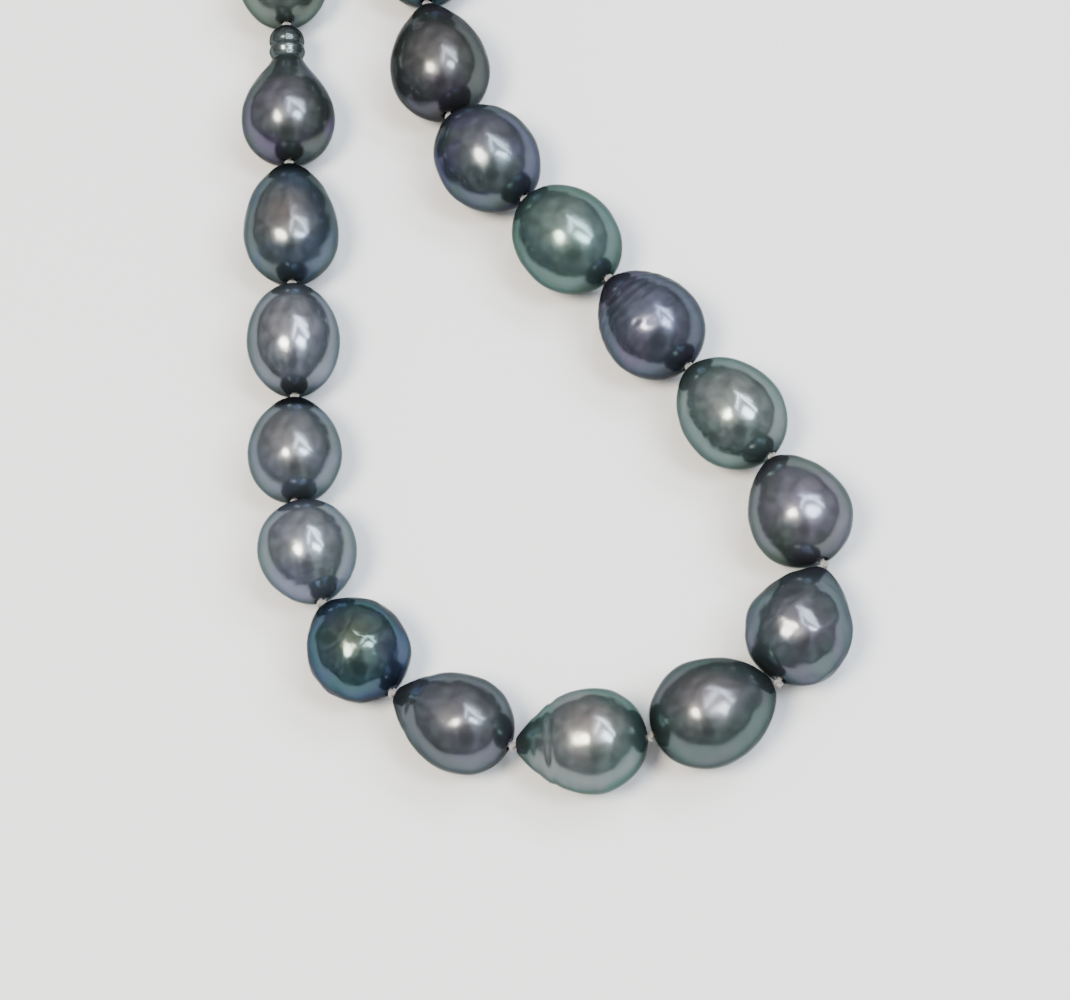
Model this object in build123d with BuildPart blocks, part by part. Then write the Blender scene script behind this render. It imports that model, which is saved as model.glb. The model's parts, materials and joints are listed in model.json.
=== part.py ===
"""A strand of 27 drop and baroque pearls, knotted on silk and lying unclasped on a table.

The strand is laid out pearl by pearl from the largest one, at the bottom of the loop, out to the
two ends. Every pearl stands on the table, so its radius is the height of its drill hole above the
table at its widest station. All sizes are in millimetres, +Z is up and the table is Z = 0.
"""

import os
from math import acos, asin, atan2, cos, hypot, radians, sin, sqrt

from build123d import *

os.makedirs("parts", exist_ok=True)

# Silk and drill hole
BORE_RADIUS = 0.42
MOUTH_RADIUS = 0.85
THREAD_RADIUS = 0.35
KNOT_RADIUS = 0.68
THREAD_STOP = KNOT_RADIUS + 0.06

# Pearl outline
HALF_OUTLINE_STEPS = 6
NECK_RADIUS = 2.1
LIP_RADIUS = 2.5

# Gap between two pearls' mouths, which the knot fills: wider where the strand bends sharply
KNOT_GAP = 0.5
BEND_KNOT_GAP = 0.8
SHARP_KNOT_GAP = 1.1
BEND_ANGLE = 18
SHARP_ANGLE = 35

# The centre pearl: where its middle is, the way its drill hole points and the heights of its ends
CENTRE_INDEX = 14
CENTRE_PLACE = (4.29, -89.67)
CENTRE_HEADING = 6
CENTRE_PITCH = 16.7
CENTRE_KNOT_HEIGHT = 6.7

# One row for each pearl, from the centre outwards: heading in degrees, distance from knot to knot,
# height of the outer knot, share of the length at which the pearl is widest, and how pointed its
# inner and outer ends are (0.5 is round, 1 is a long point)
LEFT_SIDE = [
    (166, 16.8, 6.1, 0.40, 0.50, 0.74),
    (139, 16.4, 6.2, 0.40, 0.50, 0.76),
    (112, 14.8, 6.5, 0.46, 0.50, 0.58),
    (90, 14.1, 6.1, 0.54, 0.58, 0.50),
    (76, 14.4, 5.9, 0.44, 0.50, 0.62),
    (77, 15.7, 6.2, 0.50, 0.53, 0.53),
    (77, 17.3, 6.3, 0.40, 0.50, 0.74),
    (77, 20.7, 6.1, 0.31, 0.50, 1.00),
    (80, 14.2, 6.1, 0.50, 0.50, 0.52),
    (92, 13.9, 5.9, 0.46, 0.50, 0.58),
    (106, 13.6, 5.9, 0.48, 0.50, 0.54),
    (120, 13.3, 5.7, 0.46, 0.50, 0.58),
    (132, 13.0, 5.7, 0.50, 0.52, 0.52),
]
RIGHT_SIDE = [
    (52, 16.2, 6.4, 0.42, 0.52, 0.70),
    (97, 15.5, 6.6, 0.42, 0.50, 0.64),
    (113, 16.1, 6.4, 0.44, 0.50, 0.60),
    (113, 16.0, 6.7, 0.43, 0.50, 0.64),
    (117, 16.0, 6.6, 0.48, 0.50, 0.54),
    (113, 15.8, 6.8, 0.50, 0.50, 0.51),
    (85, 17.5, 6.4, 0.39, 0.50, 0.72),
    (78, 14.8, 6.3, 0.50, 0.50, 0.52),
    (66, 14.4, 6.2, 0.46, 0.50, 0.58),
    (55, 14.1, 6.1, 0.48, 0.50, 0.54),
    (46, 13.8, 6.0, 0.46, 0.50, 0.58),
    (39, 13.5, 5.9, 0.50, 0.50, 0.52),
    (34, 13.2, 5.8, 0.50, 0.52, 0.52),
]
NECKED_PEARL = "pearl_06"

# Bullion wire loops at the two ends, sloping down to the clasp and to the end ring
WIRE_RADIUS = 0.4
WIRE_LOOP_RADIUS = 1.05
WIRE_START = 0.95
WIRE_SLOPE = 36

# Eye of the clasp and end ring
EYE_RADIUS = 2.0
EYE_WIRE_RADIUS = 0.55
EYE_HEIGHT = 1.5
RING_RADIUS = 2.6

# Lobster clasp, lying flat. Its local x runs from the eye to the nose
CLASP_THICKNESS = 3.0
CLASP_CENTRE = 9.2
CLASP_LENGTH = 11.2
CLASP_WIDTH = 7.2
KEEPER_CENTRE = 10.0
KEEPER_LENGTH = 6.8
KEEPER_WIDTH = 3.8
GATE_START = 7.9
GATE_END = 13.05
GATE_FLOOR = 0.6
LEVER_THICKNESS = 1.3
LEVER_SLOT = 1.5
LEVER_PIVOT = (6.2, 1.5)
LEVER_TIP = 12.7
LEVER_BOSS_RADIUS = 1.1
PIN_RADIUS = 0.45
PIN_CLEARANCE = 0.07
CLASP_EDGE = 0.45


def compass(degrees):
    """The level direction at this angle from +X."""
    return Vector(cos(radians(degrees)), sin(radians(degrees)), 0)


def knot_gap(bend):
    """The gap between two mouths at a knot where the strand bends by this many degrees."""
    if abs(bend) > SHARP_ANGLE:
        return SHARP_KNOT_GAP
    if abs(bend) > BEND_ANGLE:
        return BEND_KNOT_GAP
    return KNOT_GAP


def lay_out(side, start_knot, start_heading, step):
    """The pearls of one side, from the centre outwards, as a list of dictionaries."""
    pearls = []
    inner, last_heading, index = start_knot, start_heading, CENTRE_INDEX
    for row, (heading, pitch, height, widest, inner_taper, outer_taper) in enumerate(side):
        index += step
        outer = inner + compass(heading) * pitch
        outer.Z = height
        next_heading = side[row + 1][0] if row + 1 < len(side) else heading
        pearls.append(
            {
                "number": f"{index:02d}",
                "heading": heading,
                "inner": inner,
                "outer": outer,
                "inner_gap": knot_gap(heading - last_heading) / 2,
                "outer_gap": knot_gap(next_heading - heading) / 2,
                "widest": widest,
                "tapers": (inner_taper, outer_taper),
            }
        )
        inner, last_heading = outer, heading
    return pearls


centre_middle = Vector(*CENTRE_PLACE, CENTRE_KNOT_HEIGHT)
centre_reach = compass(CENTRE_HEADING) * (CENTRE_PITCH / 2)
left_start = centre_middle - centre_reach
right_start = centre_middle + centre_reach
left_pearls = lay_out(LEFT_SIDE, left_start, CENTRE_HEADING + 180, -1)
right_pearls = lay_out(RIGHT_SIDE, right_start, CENTRE_HEADING, 1)
centre_pearl = {
    "number": f"{CENTRE_INDEX:02d}",
    "heading": CENTRE_HEADING,
    "inner": left_start,
    "outer": right_start,
    "inner_gap": left_pearls[0]["inner_gap"],
    "outer_gap": right_pearls[0]["inner_gap"],
    "widest": 0.44,
    "tapers": (0.50, 0.66),
}
all_pearls = left_pearls[::-1] + [centre_pearl] + right_pearls


def half_outline(radius, length, taper):
    """Points (radius, distance from the widest station) out to the mouth, which is at length."""
    mouth_turn = acos((MOUTH_RADIUS / radius) ** (0.5 / taper))
    reach = length / sin(mouth_turn)
    turns = [mouth_turn * step / HALF_OUTLINE_STEPS for step in range(HALF_OUTLINE_STEPS + 1)]
    return [(radius * cos(turn) ** (2 * taper), reach * sin(turn)) for turn in turns]


def necked_half(radius, length):
    """The same for the pearl that draws out into a neck with two ringed lips."""
    shoulder = [(0.97, 0.12), (0.86, 0.26), (0.68, 0.40), (0.50, 0.52)]
    points = [(radius, 0)] + [(radius * r, length * z) for r, z in shoulder]
    lips = [(NECK_RADIUS, 0.66), (LIP_RADIUS, 0.74), (NECK_RADIUS, 0.81), (LIP_RADIUS - 0.2, 0.89)]
    points += [(r, length * z) for r, z in lips]
    return points + [(MOUTH_RADIUS + 0.4, length * 0.975), (MOUTH_RADIUS, length)]


def make_pearl(pearl):
    """A pearl turned about its drill hole, which is countersunk at both mouths."""
    name = f"pearl_{pearl['number']}"
    run = pearl["outer"] - pearl["inner"]
    along = run.normalized()
    across = Vector(-along.Y, along.X, 0).normalized()
    start = pearl["inner_gap"]
    end = run.length - pearl["outer_gap"]
    widest = start + (end - start) * pearl["widest"]
    radius = (pearl["inner"] + along * widest).Z * Vector(along.X, along.Y, 0).length
    inner_half = half_outline(radius, widest - start, pearl["tapers"][0])
    outer_half = half_outline(radius, end - widest, pearl["tapers"][1])
    if name == NECKED_PEARL:
        outer_half = necked_half(radius, end - widest)
    outline = [(r, widest - z) for r, z in reversed(inner_half)]
    outline += [(r, widest + z) for r, z in outer_half[1:]]
    sink = MOUTH_RADIUS - BORE_RADIUS
    profile_plane = Plane(origin=pearl["inner"], x_dir=across, z_dir=across.cross(along))
    with BuildPart() as body:
        with BuildSketch(profile_plane):
            with BuildLine():
                Spline(*outline)
                bore_line = [(MOUTH_RADIUS, end), (BORE_RADIUS, end - sink)]
                bore_line += [(BORE_RADIUS, start + sink), (MOUTH_RADIUS, start)]
                Polyline(*bore_line)
            make_face()
        revolve(axis=Axis(pearl["inner"], along))
    body.part.label = name
    export_step(body.part, f"parts/{name}.step")
    pearl["radius"] = radius
    return body.part


def make_silk(pearl, inner_knot, outer_knot):
    """The silk inside one pearl, with the knots that belong to it."""
    name = f"silk_{pearl['number']}"
    run = pearl["outer"] - pearl["inner"]
    along = run.normalized()
    start = 0 if inner_knot else THREAD_STOP
    end = run.length if outer_knot else run.length - THREAD_STOP
    with BuildPart() as thread:
        with BuildSketch(Plane(origin=pearl["inner"] + along * start, z_dir=along)):
            Circle(THREAD_RADIUS)
        extrude(amount=end - start)
        if inner_knot:
            with Locations(pearl["inner"]):
                Sphere(KNOT_RADIUS)
        if outer_knot:
            with Locations(pearl["outer"]):
                Sphere(KNOT_RADIUS)
    thread.part.label = name
    export_step(thread.part, f"parts/{name}.step")
    return thread.part


def end_frame(pearl):
    """Where the wire loop at one end holds its eye: the loop's plane, its length and that place."""
    level = compass(pearl["heading"])
    drop = pearl["outer"].Z - EYE_HEIGHT
    length = drop / sin(radians(WIRE_SLOPE))
    along = level * cos(radians(WIRE_SLOPE)) - Vector(0, 0, sin(radians(WIRE_SLOPE)))
    plane = Plane(origin=pearl["outer"], x_dir=along, z_dir=along.cross(Vector(0, 0, 1)))
    return plane, length, pearl["outer"] + along * length


def make_wire_loop(name, pearl):
    """Fine coiled wire over the silk: two legs from the last knot, round the eye and back."""
    plane, length, _ = end_frame(pearl)
    leg = WIRE_RADIUS + 0.02
    apart = hypot(length - WIRE_START, leg)
    spread = asin(WIRE_LOOP_RADIUS / apart) - atan2(leg, length - WIRE_START)
    leg_length = sqrt(apart**2 - WIRE_LOOP_RADIUS**2)
    touch = (WIRE_START + leg_length * cos(spread), leg + leg_length * sin(spread))
    with BuildPart() as loop:
        with BuildLine(plane) as route:
            Line((WIRE_START, leg), touch)
            ThreePointArc(touch, (length + WIRE_LOOP_RADIUS, 0), (touch[0], -touch[1]))
            Line((touch[0], -touch[1]), (WIRE_START, -leg))
        with BuildSketch(Plane(origin=route.wires()[0] @ 0, z_dir=route.wires()[0] % 0)):
            Circle(WIRE_RADIUS)
        sweep(path=route.wires()[0])
    loop.part.label = name
    export_step(loop.part, f"parts/{name}.step")
    return loop.part


def clasp_plane(pearl):
    """The clasp's middle plane, with its origin where the wire loop holds the eye."""
    held = end_frame(pearl)[2]
    return Plane(origin=held, x_dir=compass(pearl["heading"]), z_dir=(0, 0, 1))


clasp_middle = clasp_plane(left_pearls[-1])


def make_clasp_body():
    """The claw: a flat oval with a keeper opening, a gate on one side and a slot for the lever."""
    with BuildPart() as claw:
        with BuildSketch(clasp_middle):
            with Locations((CLASP_CENTRE, 0)):
                Ellipse(CLASP_LENGTH / 2, CLASP_WIDTH / 2)
            with Locations((KEEPER_CENTRE, 0)):
                Ellipse(KEEPER_LENGTH / 2, KEEPER_WIDTH / 2, mode=Mode.SUBTRACT)
        extrude(amount=CLASP_THICKNESS / 2, both=True)
        rims = claw.edges().group_by(Axis.Z)
        fillet(rims[0] + rims[-1], CLASP_EDGE)
        with BuildSketch(clasp_middle):
            gate_width = CLASP_WIDTH / 2 - GATE_FLOOR
            with Locations(((GATE_START + GATE_END) / 2, GATE_FLOOR + gate_width / 2)):
                Rectangle(GATE_END - GATE_START, gate_width + 0.2)
        extrude(amount=CLASP_THICKNESS, both=True, mode=Mode.SUBTRACT)
        with BuildSketch(clasp_middle):
            slot_start = LEVER_PIVOT[0] - LEVER_BOSS_RADIUS - 0.3
            with Locations(((slot_start + GATE_START + 0.5) / 2, 2.0)):
                Rectangle(GATE_START + 0.5 - slot_start, 4.4)
        extrude(amount=LEVER_SLOT / 2, both=True, mode=Mode.SUBTRACT)
        with BuildSketch(clasp_middle):
            with Locations(LEVER_PIVOT):
                Circle(PIN_RADIUS)
        extrude(amount=CLASP_THICKNESS, both=True, mode=Mode.SUBTRACT)
        eye_centre = clasp_middle.from_local_coords((EYE_RADIUS, 0, 0))
        with Locations(Plane(origin=eye_centre)):
            Torus(EYE_RADIUS, EYE_WIRE_RADIUS)
    claw.part.label = "clasp_body"
    export_step(claw.part, "parts/clasp_body.step")
    return claw.part


def make_clasp_lever():
    """The sprung gate: an arm that closes the claw, its boss round the pin and a thumb tab."""
    with BuildPart() as lever:
        with BuildSketch(clasp_middle):
            with Locations((CLASP_CENTRE, 0)):
                Ellipse(CLASP_LENGTH / 2, CLASP_WIDTH / 2)
            with Locations((KEEPER_CENTRE, 0)):
                Ellipse(KEEPER_LENGTH / 2, KEEPER_WIDTH / 2, mode=Mode.SUBTRACT)
            with Locations(((LEVER_PIVOT[0] + LEVER_TIP) / 2, 3)):
                Rectangle(LEVER_TIP - LEVER_PIVOT[0], 6 - 2 * GATE_FLOOR, mode=Mode.INTERSECT)
            with Locations(LEVER_PIVOT):
                Circle(LEVER_BOSS_RADIUS)
            with Locations((7.6, 3.6)):
                SlotOverall(2.6, 1.2, rotation=110)
            with Locations(LEVER_PIVOT):
                Circle(PIN_RADIUS + PIN_CLEARANCE, mode=Mode.SUBTRACT)
        extrude(amount=LEVER_THICKNESS / 2, both=True)
    lever.part.label = "clasp_lever"
    export_step(lever.part, "parts/clasp_lever.step")
    return lever.part


def make_lever_pin():
    """The rivet that the lever turns on, pressed into both cheeks of the claw."""
    with BuildPart() as pin:
        with BuildSketch(clasp_middle):
            with Locations(LEVER_PIVOT):
                Circle(PIN_RADIUS)
        extrude(amount=CLASP_THICKNESS / 2 - 0.05, both=True)
    pin.part.label = "clasp_lever_pin"
    export_step(pin.part, "parts/clasp_lever_pin.step")
    return pin.part


def ring_plane(pearl):
    """The end ring's plane: its near side hangs in the wire loop and its far side lies down."""
    held = end_frame(pearl)[2]
    fall = (EYE_HEIGHT - EYE_WIRE_RADIUS) / (2 * RING_RADIUS)
    level = compass(pearl["heading"])
    along = (level - Vector(0, 0, fall)).normalized()
    side = Vector(0, 0, 1).cross(level)
    return Plane(origin=held, x_dir=along, z_dir=along.cross(side))


def make_end_ring():
    """The ring that the clasp hooks into."""
    plane = ring_plane(right_pearls[-1])
    middle = Plane(origin=plane.origin + plane.x_dir * RING_RADIUS, z_dir=plane.z_dir)
    with BuildPart() as ring:
        with Locations(middle):
            Torus(RING_RADIUS, EYE_WIRE_RADIUS)
    ring.part.label = "end_ring"
    export_step(ring.part, "parts/end_ring.step")
    return ring.part


pieces = []
for pearl in all_pearls:
    pieces.append(make_pearl(pearl))
pieces.append(make_silk(centre_pearl, inner_knot=False, outer_knot=False))
for side in (left_pearls, right_pearls):
    for pearl in side:
        pieces.append(make_silk(pearl, inner_knot=True, outer_knot=pearl is side[-1]))
pieces.append(make_wire_loop("french_wire_left", left_pearls[-1]))
pieces.append(make_wire_loop("french_wire_right", right_pearls[-1]))
pieces.append(make_clasp_body())
pieces.append(make_clasp_lever())
pieces.append(make_lever_pin())
pieces.append(make_end_ring())

for pearl in all_pearls:
    print(f"pearl_{pearl['number']}: {2 * pearl['radius']:.2f} mm across")
print(f"{len(pieces)} pieces")
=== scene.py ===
# %% [markdown]
# # A strand of dark drop pearls
# This lesson dresses a pearl necklace. The strand was first built as 60 plain solids that move
# on 58 joints. Here each pearl, each length of silk and each wire loop is modelled again with
# its real surface, and put exactly where its plain solid is. Everything is in metres, +Z is up,
# and the strand lies on the table at Z = 0.

# %% Load the plain solids
import json
import math

import bpy
from mathutils import Matrix, Vector


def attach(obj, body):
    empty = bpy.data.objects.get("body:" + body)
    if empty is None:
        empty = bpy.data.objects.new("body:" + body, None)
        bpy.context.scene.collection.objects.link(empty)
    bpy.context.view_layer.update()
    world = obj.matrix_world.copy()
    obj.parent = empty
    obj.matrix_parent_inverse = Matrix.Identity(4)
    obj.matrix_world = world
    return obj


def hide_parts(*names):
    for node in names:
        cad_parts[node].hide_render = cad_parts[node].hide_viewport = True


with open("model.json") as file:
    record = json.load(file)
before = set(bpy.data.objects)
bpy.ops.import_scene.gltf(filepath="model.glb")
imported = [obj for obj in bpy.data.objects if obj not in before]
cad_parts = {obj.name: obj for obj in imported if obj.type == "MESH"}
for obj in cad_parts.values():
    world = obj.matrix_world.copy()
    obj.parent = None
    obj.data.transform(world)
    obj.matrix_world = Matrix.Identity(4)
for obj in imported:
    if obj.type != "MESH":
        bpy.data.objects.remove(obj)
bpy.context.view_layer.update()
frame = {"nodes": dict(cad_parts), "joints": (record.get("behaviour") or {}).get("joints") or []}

# %% [markdown]
# ## The camera
# The strand is looked at from above, 70 degrees over the table, and from the front. Turning the
# camera a little about its own line of sight lets the strand's two halves run up the view as
# they do when the necklace lies askew in its box. A long lens keeps the pearls of the near and
# far ends almost the same size.

# %% Set up the camera
VIEW_TARGET = Vector((-0.0091, -0.0570, 0.0065))
VIEW_HEIGHT = math.radians(70)
VIEW_ROLL = math.radians(-16.8)
VIEW_DISTANCE = 0.3416
VIEW_LENS = 91.95

line_of_sight = Vector((0, math.cos(VIEW_HEIGHT), -math.sin(VIEW_HEIGHT)))
bpy.ops.object.select_all(action="DESELECT")
bpy.ops.object.camera_add(location=VIEW_TARGET - line_of_sight * VIEW_DISTANCE)
camera = bpy.context.object
camera.name = "camera"
camera.data.lens = VIEW_LENS
camera.data.clip_start = 0.01
camera.rotation_mode = "ZYX"
camera.rotation_euler = (math.pi / 2 - VIEW_HEIGHT, 0, VIEW_ROLL)
bpy.context.scene.camera = camera
bpy.context.view_layer.update()
print("camera at", [round(value, 3) for value in camera.location])

# %% [markdown]
# ## Helpers for nodes
# Materials and the room are built from nodes: small boxes that each do one thing, such as a
# noise or a bump, and are wired together. By hand they are picked from a menu, filled in and
# wired. These helpers do the same, so that each material below reads as a list of what is in it.

# %% Helpers that add nodes
def fill_in(tree, node, values):
    """Sets a node's inputs. A value that is another node's output is wired to the input."""
    for name, value in values.items():
        if isinstance(value, bpy.types.NodeSocket):
            tree.links.new(value, node.inputs[name])
        else:
            node.inputs[name].default_value = value


def add_node(tree, kind, values, **settings):
    """A new node of this kind, with its settings made and its inputs filled in."""
    node = tree.nodes.new("ShaderNode" + kind)
    for name, value in settings.items():
        setattr(node, name, value)
    fill_in(tree, node, values)
    return node


def add_noise(tree, place, scale, detail=2.0, **more):
    """A soft noise over these coordinates, as a number from 0 to 1."""
    values = {"Vector": place, "Scale": scale, "Detail": detail, **more}
    return add_node(tree, "TexNoise", values).outputs["Fac"]


def add_bump(tree, pattern, strength, depth, **under):
    """The surface raised by a pattern, by up to this depth in metres, over any bump under it."""
    values = {"Height": pattern, "Strength": strength, "Distance": depth, **under}
    return add_node(tree, "Bump", values).outputs["Normal"]


def new_finish(name, skin_values):
    """A new material, its nodes, its skin, and the coordinates that its patterns read."""
    finish = bpy.data.materials.new(name)
    finish.use_nodes = True
    tree = finish.node_tree
    skin = tree.nodes["Principled BSDF"]
    fill_in(tree, skin, skin_values)
    return finish, tree, skin, add_node(tree, "TexCoord", {}).outputs["Object"]


print("helpers ready: fill_in, add_node, add_noise, add_bump, new_finish")

# %% [markdown]
# ## The table
# Pearls are mirrors with a tint, so what stands around them matters as much as their own
# colour. A pale, dead matt table gives each pearl its bright rim. A plane with a very low nap
# reads as plush, without drawing the eye.

# %% Lay the table
TABLE_SIZE = 8.0
TABLE_TONE = (0.66, 0.652, 0.645, 1)
NAP_SCALE = 900
NAP_DEPTH = 0.0004

bpy.ops.mesh.primitive_plane_add(size=TABLE_SIZE, location=(0, 0, 0))
table = bpy.context.object
table.name = "table"
cloth_values = {"Base Color": TABLE_TONE, "Roughness": 0.95, "Specular IOR Level": 0.1}
table_cloth, cloth_tree, cloth_skin, cloth_place = new_finish("pale plush table", cloth_values)
nap = add_noise(cloth_tree, cloth_place, NAP_SCALE)
fill_in(cloth_tree, cloth_skin, {"Normal": add_bump(cloth_tree, nap, 0.15, NAP_DEPTH)})
table.data.materials.append(table_cloth)
print("table:", TABLE_SIZE, "m square")

# %% [markdown]
# ## The lights
# Five lamps do the work. A warm round one shows in every pearl as a soft disc left of its
# middle. A cool window and three long cool tubes show as a pane and curved streaks on the right.
# They are placed by the direction in which the camera's own axes see them, so that the
# reflections land where they should on every pearl.

# %% Hang the lamps
LAMP_DISTANCE = 0.8
WARM = (1.0, 0.91, 0.76)
COOL = (0.76, 0.87, 1.0)
view_axes = camera.matrix_world.to_3x3()


def hang_lamp(name, direction, size, glow, tint, turn=0):
    """An area lamp that faces the strand.

    Its direction is right, up and towards the camera. Its first side lies across the view, turned
    by this many degrees.
    """
    facing = (view_axes @ Vector(direction)).normalized()
    place = VIEW_TARGET + facing * LAMP_DISTANCE
    bpy.ops.object.light_add(type="AREA", location=place)
    lamp = bpy.context.object
    lamp.name = name
    lamp.data.shape = "ELLIPSE" if size[0] == size[1] else "RECTANGLE"
    lamp.data.size, lamp.data.size_y = size
    lamp.data.color = tint
    lamp.data.energy = glow * math.pi * size[0] * size[1]
    wanted = view_axes @ Vector((math.cos(math.radians(turn)), math.sin(math.radians(turn)), 0))
    up = facing.cross(wanted).normalized()
    lamp.rotation_mode = "QUATERNION"
    lamp.rotation_quaternion = Matrix((up.cross(facing), up, facing)).transposed().to_quaternion()
    print(name, "at", [round(value, 2) for value in place], "m")


hang_lamp("warm round lamp", (-0.36, 0.12, 0.92), (0.27, 0.27), 50, WARM)
hang_lamp("cool window", (0.40, 0.20, 0.89), (0.18, 0.28), 36, COOL, 60)
hang_lamp("near cool tube", (0.46, 0.50, 0.73), (0.50, 0.05), 34, COOL, -42)
hang_lamp("far cool tube", (0.30, 0.70, 0.65), (0.50, 0.04), 32, COOL, -24)
hang_lamp("tall cool tube", (0.10, 0.52, 0.85), (0.42, 0.05), 28, COOL, 78)

# %% [markdown]
# ## The dome of the room
# The rest of the room is a soft grey dome: bright overhead, darker towards the horizon. That
# darker band draws the thin dark line inside each pearl's bright rim. A sky texture would do it
# too, but a colour ramp over the height is easier to steer.

# %% Raise the dome
room = bpy.data.worlds.new("room")
room.use_nodes = True
bpy.context.scene.world = room
room_tree = room.node_tree
room_direction = add_node(room_tree, "TexCoord", {}).outputs["Generated"]
room_height = add_node(room_tree, "SeparateXYZ", {"Vector": room_direction}).outputs["Z"]
dome = add_node(room_tree, "ValToRGB", {"Fac": room_height})
dome.color_ramp.elements[0].position = 0.0
dome.color_ramp.elements[0].color = (0.14, 0.14, 0.145, 1)
dome.color_ramp.elements[1].position = 1.0
dome.color_ramp.elements[1].color = (1.0, 1.01, 1.05, 1)
for height, grey in ((0.12, 0.3), (0.34, 0.72)):
    dome.color_ramp.elements.new(height).color = (grey, grey, grey * 1.04, 1)
print("dome:", len(dome.color_ramp.elements), "greys from the horizon up")

# %% [markdown]
# ## What stands in the room
# The side where a person would stand is shaded, and so is a small spot for a head. A round patch
# around the window glows. A broad noise stands for shelves, walls and more windows, so that no
# pearl mirrors an even sky. Each of them is one number that the dome's light is multiplied by.

# %% Furnish the room
CLUTTER_SCALE = 3.6
CLUTTER_RANGE = {"From Min": 0.35, "From Max": 0.65, "To Min": 0.3, "To Max": 1.8}


def room_patch(direction, outer, inner, outside, inside):
    """A number that changes from outside to inside a round patch of the room."""
    towards = (view_axes @ Vector(direction)).normalized()
    values = {0: room_direction, 1: towards}
    angle = add_node(room_tree, "VectorMath", values, operation="DOT_PRODUCT")
    reach = {"Value": angle.outputs["Value"], "From Min": outer, "From Max": inner}
    reach.update({"To Min": outside, "To Max": inside})
    patch = add_node(room_tree, "MapRange", reach, interpolation_type="SMOOTHSTEP")
    return patch.outputs["Result"]


def multiply(first, second):
    """The product of two numbers in the room's nodes."""
    product = add_node(room_tree, "Math", {0: first, 1: second}, operation="MULTIPLY")
    return product.outputs["Value"]


window_glow = room_patch((0.30, 0.24, 0.92), 0.84, 0.985, 1.0, 1.9)
body_shade = room_patch((0.04, -0.50, 0.87), 0.93, 0.985, 1.0, 0.12)
head_shade = room_patch((0.10, -0.08, 0.99), 0.982, 0.996, 1.0, 0.15)
clutter = add_noise(room_tree, room_direction, CLUTTER_SCALE)
clutter = add_node(room_tree, "MapRange", {"Value": clutter, **CLUTTER_RANGE}).outputs["Result"]
shaded_dome = add_node(
    room_tree,
    "Mix",
    {"Factor": 1.0, "A": dome.outputs["Color"], "B": body_shade},
    data_type="RGBA",
    blend_type="MULTIPLY",
)
room_glow = multiply(multiply(window_glow, head_shade), clutter)
room_light = room_tree.nodes["Background"]
fill_in(room_tree, room_light, {"Color": shaded_dome.outputs["Result"], "Strength": room_glow})
print("room: a glowing window, two shades and a clutter noise of scale", CLUTTER_SCALE)

# %% [markdown]
# ## The backdrop
# Only the pearls should see that room. A view that looks over the table's edge meets a plain
# pale backdrop, because the light path tells the room's shader which rays come straight from the
# camera.

# %% Hang the backdrop
BACKDROP_TONE = (0.80, 0.80, 0.80, 1)

backdrop = add_node(room_tree, "Background", {"Color": BACKDROP_TONE})
from_camera = add_node(room_tree, "LightPath", {}).outputs["Is Camera Ray"]
shaders = {1: room_light.outputs["Background"], 2: backdrop.outputs["Background"]}
either = add_node(room_tree, "MixShader", {"Fac": from_camera, **shaders})
fill_in(room_tree, room_tree.nodes["World Output"], {"Surface": either.outputs["Shader"]})
print("backdrop: a pale grey", BACKDROP_TONE[0])

# %% [markdown]
# ## Finding each pearl's drill hole
# Every pearl turns on its silk, so its spin joint already says where the drill hole is: a
# point, the knot on the pearl's inner side, and a direction, away from the middle of the strand.
# A pearl is modelled upright in millimetres, with its drill hole on the Z axis and its knot at
# the origin, and one matrix then takes it to its place in the strand.

# %% Read the drill holes
MM = 0.001
drill_holes = {}
for joint in frame["joints"]:
    if joint["name"].endswith("_spin"):
        hole = (Vector(joint["pos_m"]), Vector(joint["axis"]).normalized())
        drill_holes[joint["name"].removesuffix("_spin")] = hole
print(len(drill_holes), "drill holes")


def strand_place(pearl_name):
    """The matrix from a pearl's own millimetres to its place. Its y points up from the table."""
    knot, along = drill_holes[pearl_name]
    up = Vector((0, 0, 1))
    up = (up - along * up.dot(along)).normalized()
    side = up.cross(along)
    turn = Matrix((side, up, along)).transposed().to_4x4()
    return Matrix.Translation(knot) @ turn @ Matrix.Scale(MM, 4)


def measure_pearl(pearl_name):
    """Where the plain pearl starts, is widest and ends along its drill hole, and its radius."""
    to_pearl = strand_place(pearl_name).inverted()
    corners = [to_pearl @ vertex.co for vertex in frame["nodes"][pearl_name].data.vertices]
    reach = [(math.hypot(corner.x, corner.y), corner.z) for corner in corners]
    start, end = min(z for r, z in reach), max(z for r, z in reach)
    radius, widest = max(reach)
    return start, widest, end, radius


print("pearl_14:", [round(value, 2) for value in measure_pearl("pearl_14")], "mm")

# %% [markdown]
# ## Modelling helpers
# Four small helpers do what a hand would do. One draws a line by extruding a single vertex from
# point to point. One spins that line into a closed body. One grabs a vertex and pulls it with
# proportional editing, which makes the soft dents and bumps that no baroque pearl is without.
# The last one adds a modifier and applies it.

# %% Helpers for shaping
BORE_RADIUS = 0.42
MOUTH_RADIUS = 0.85
SPIN_STEPS = 48


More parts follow.
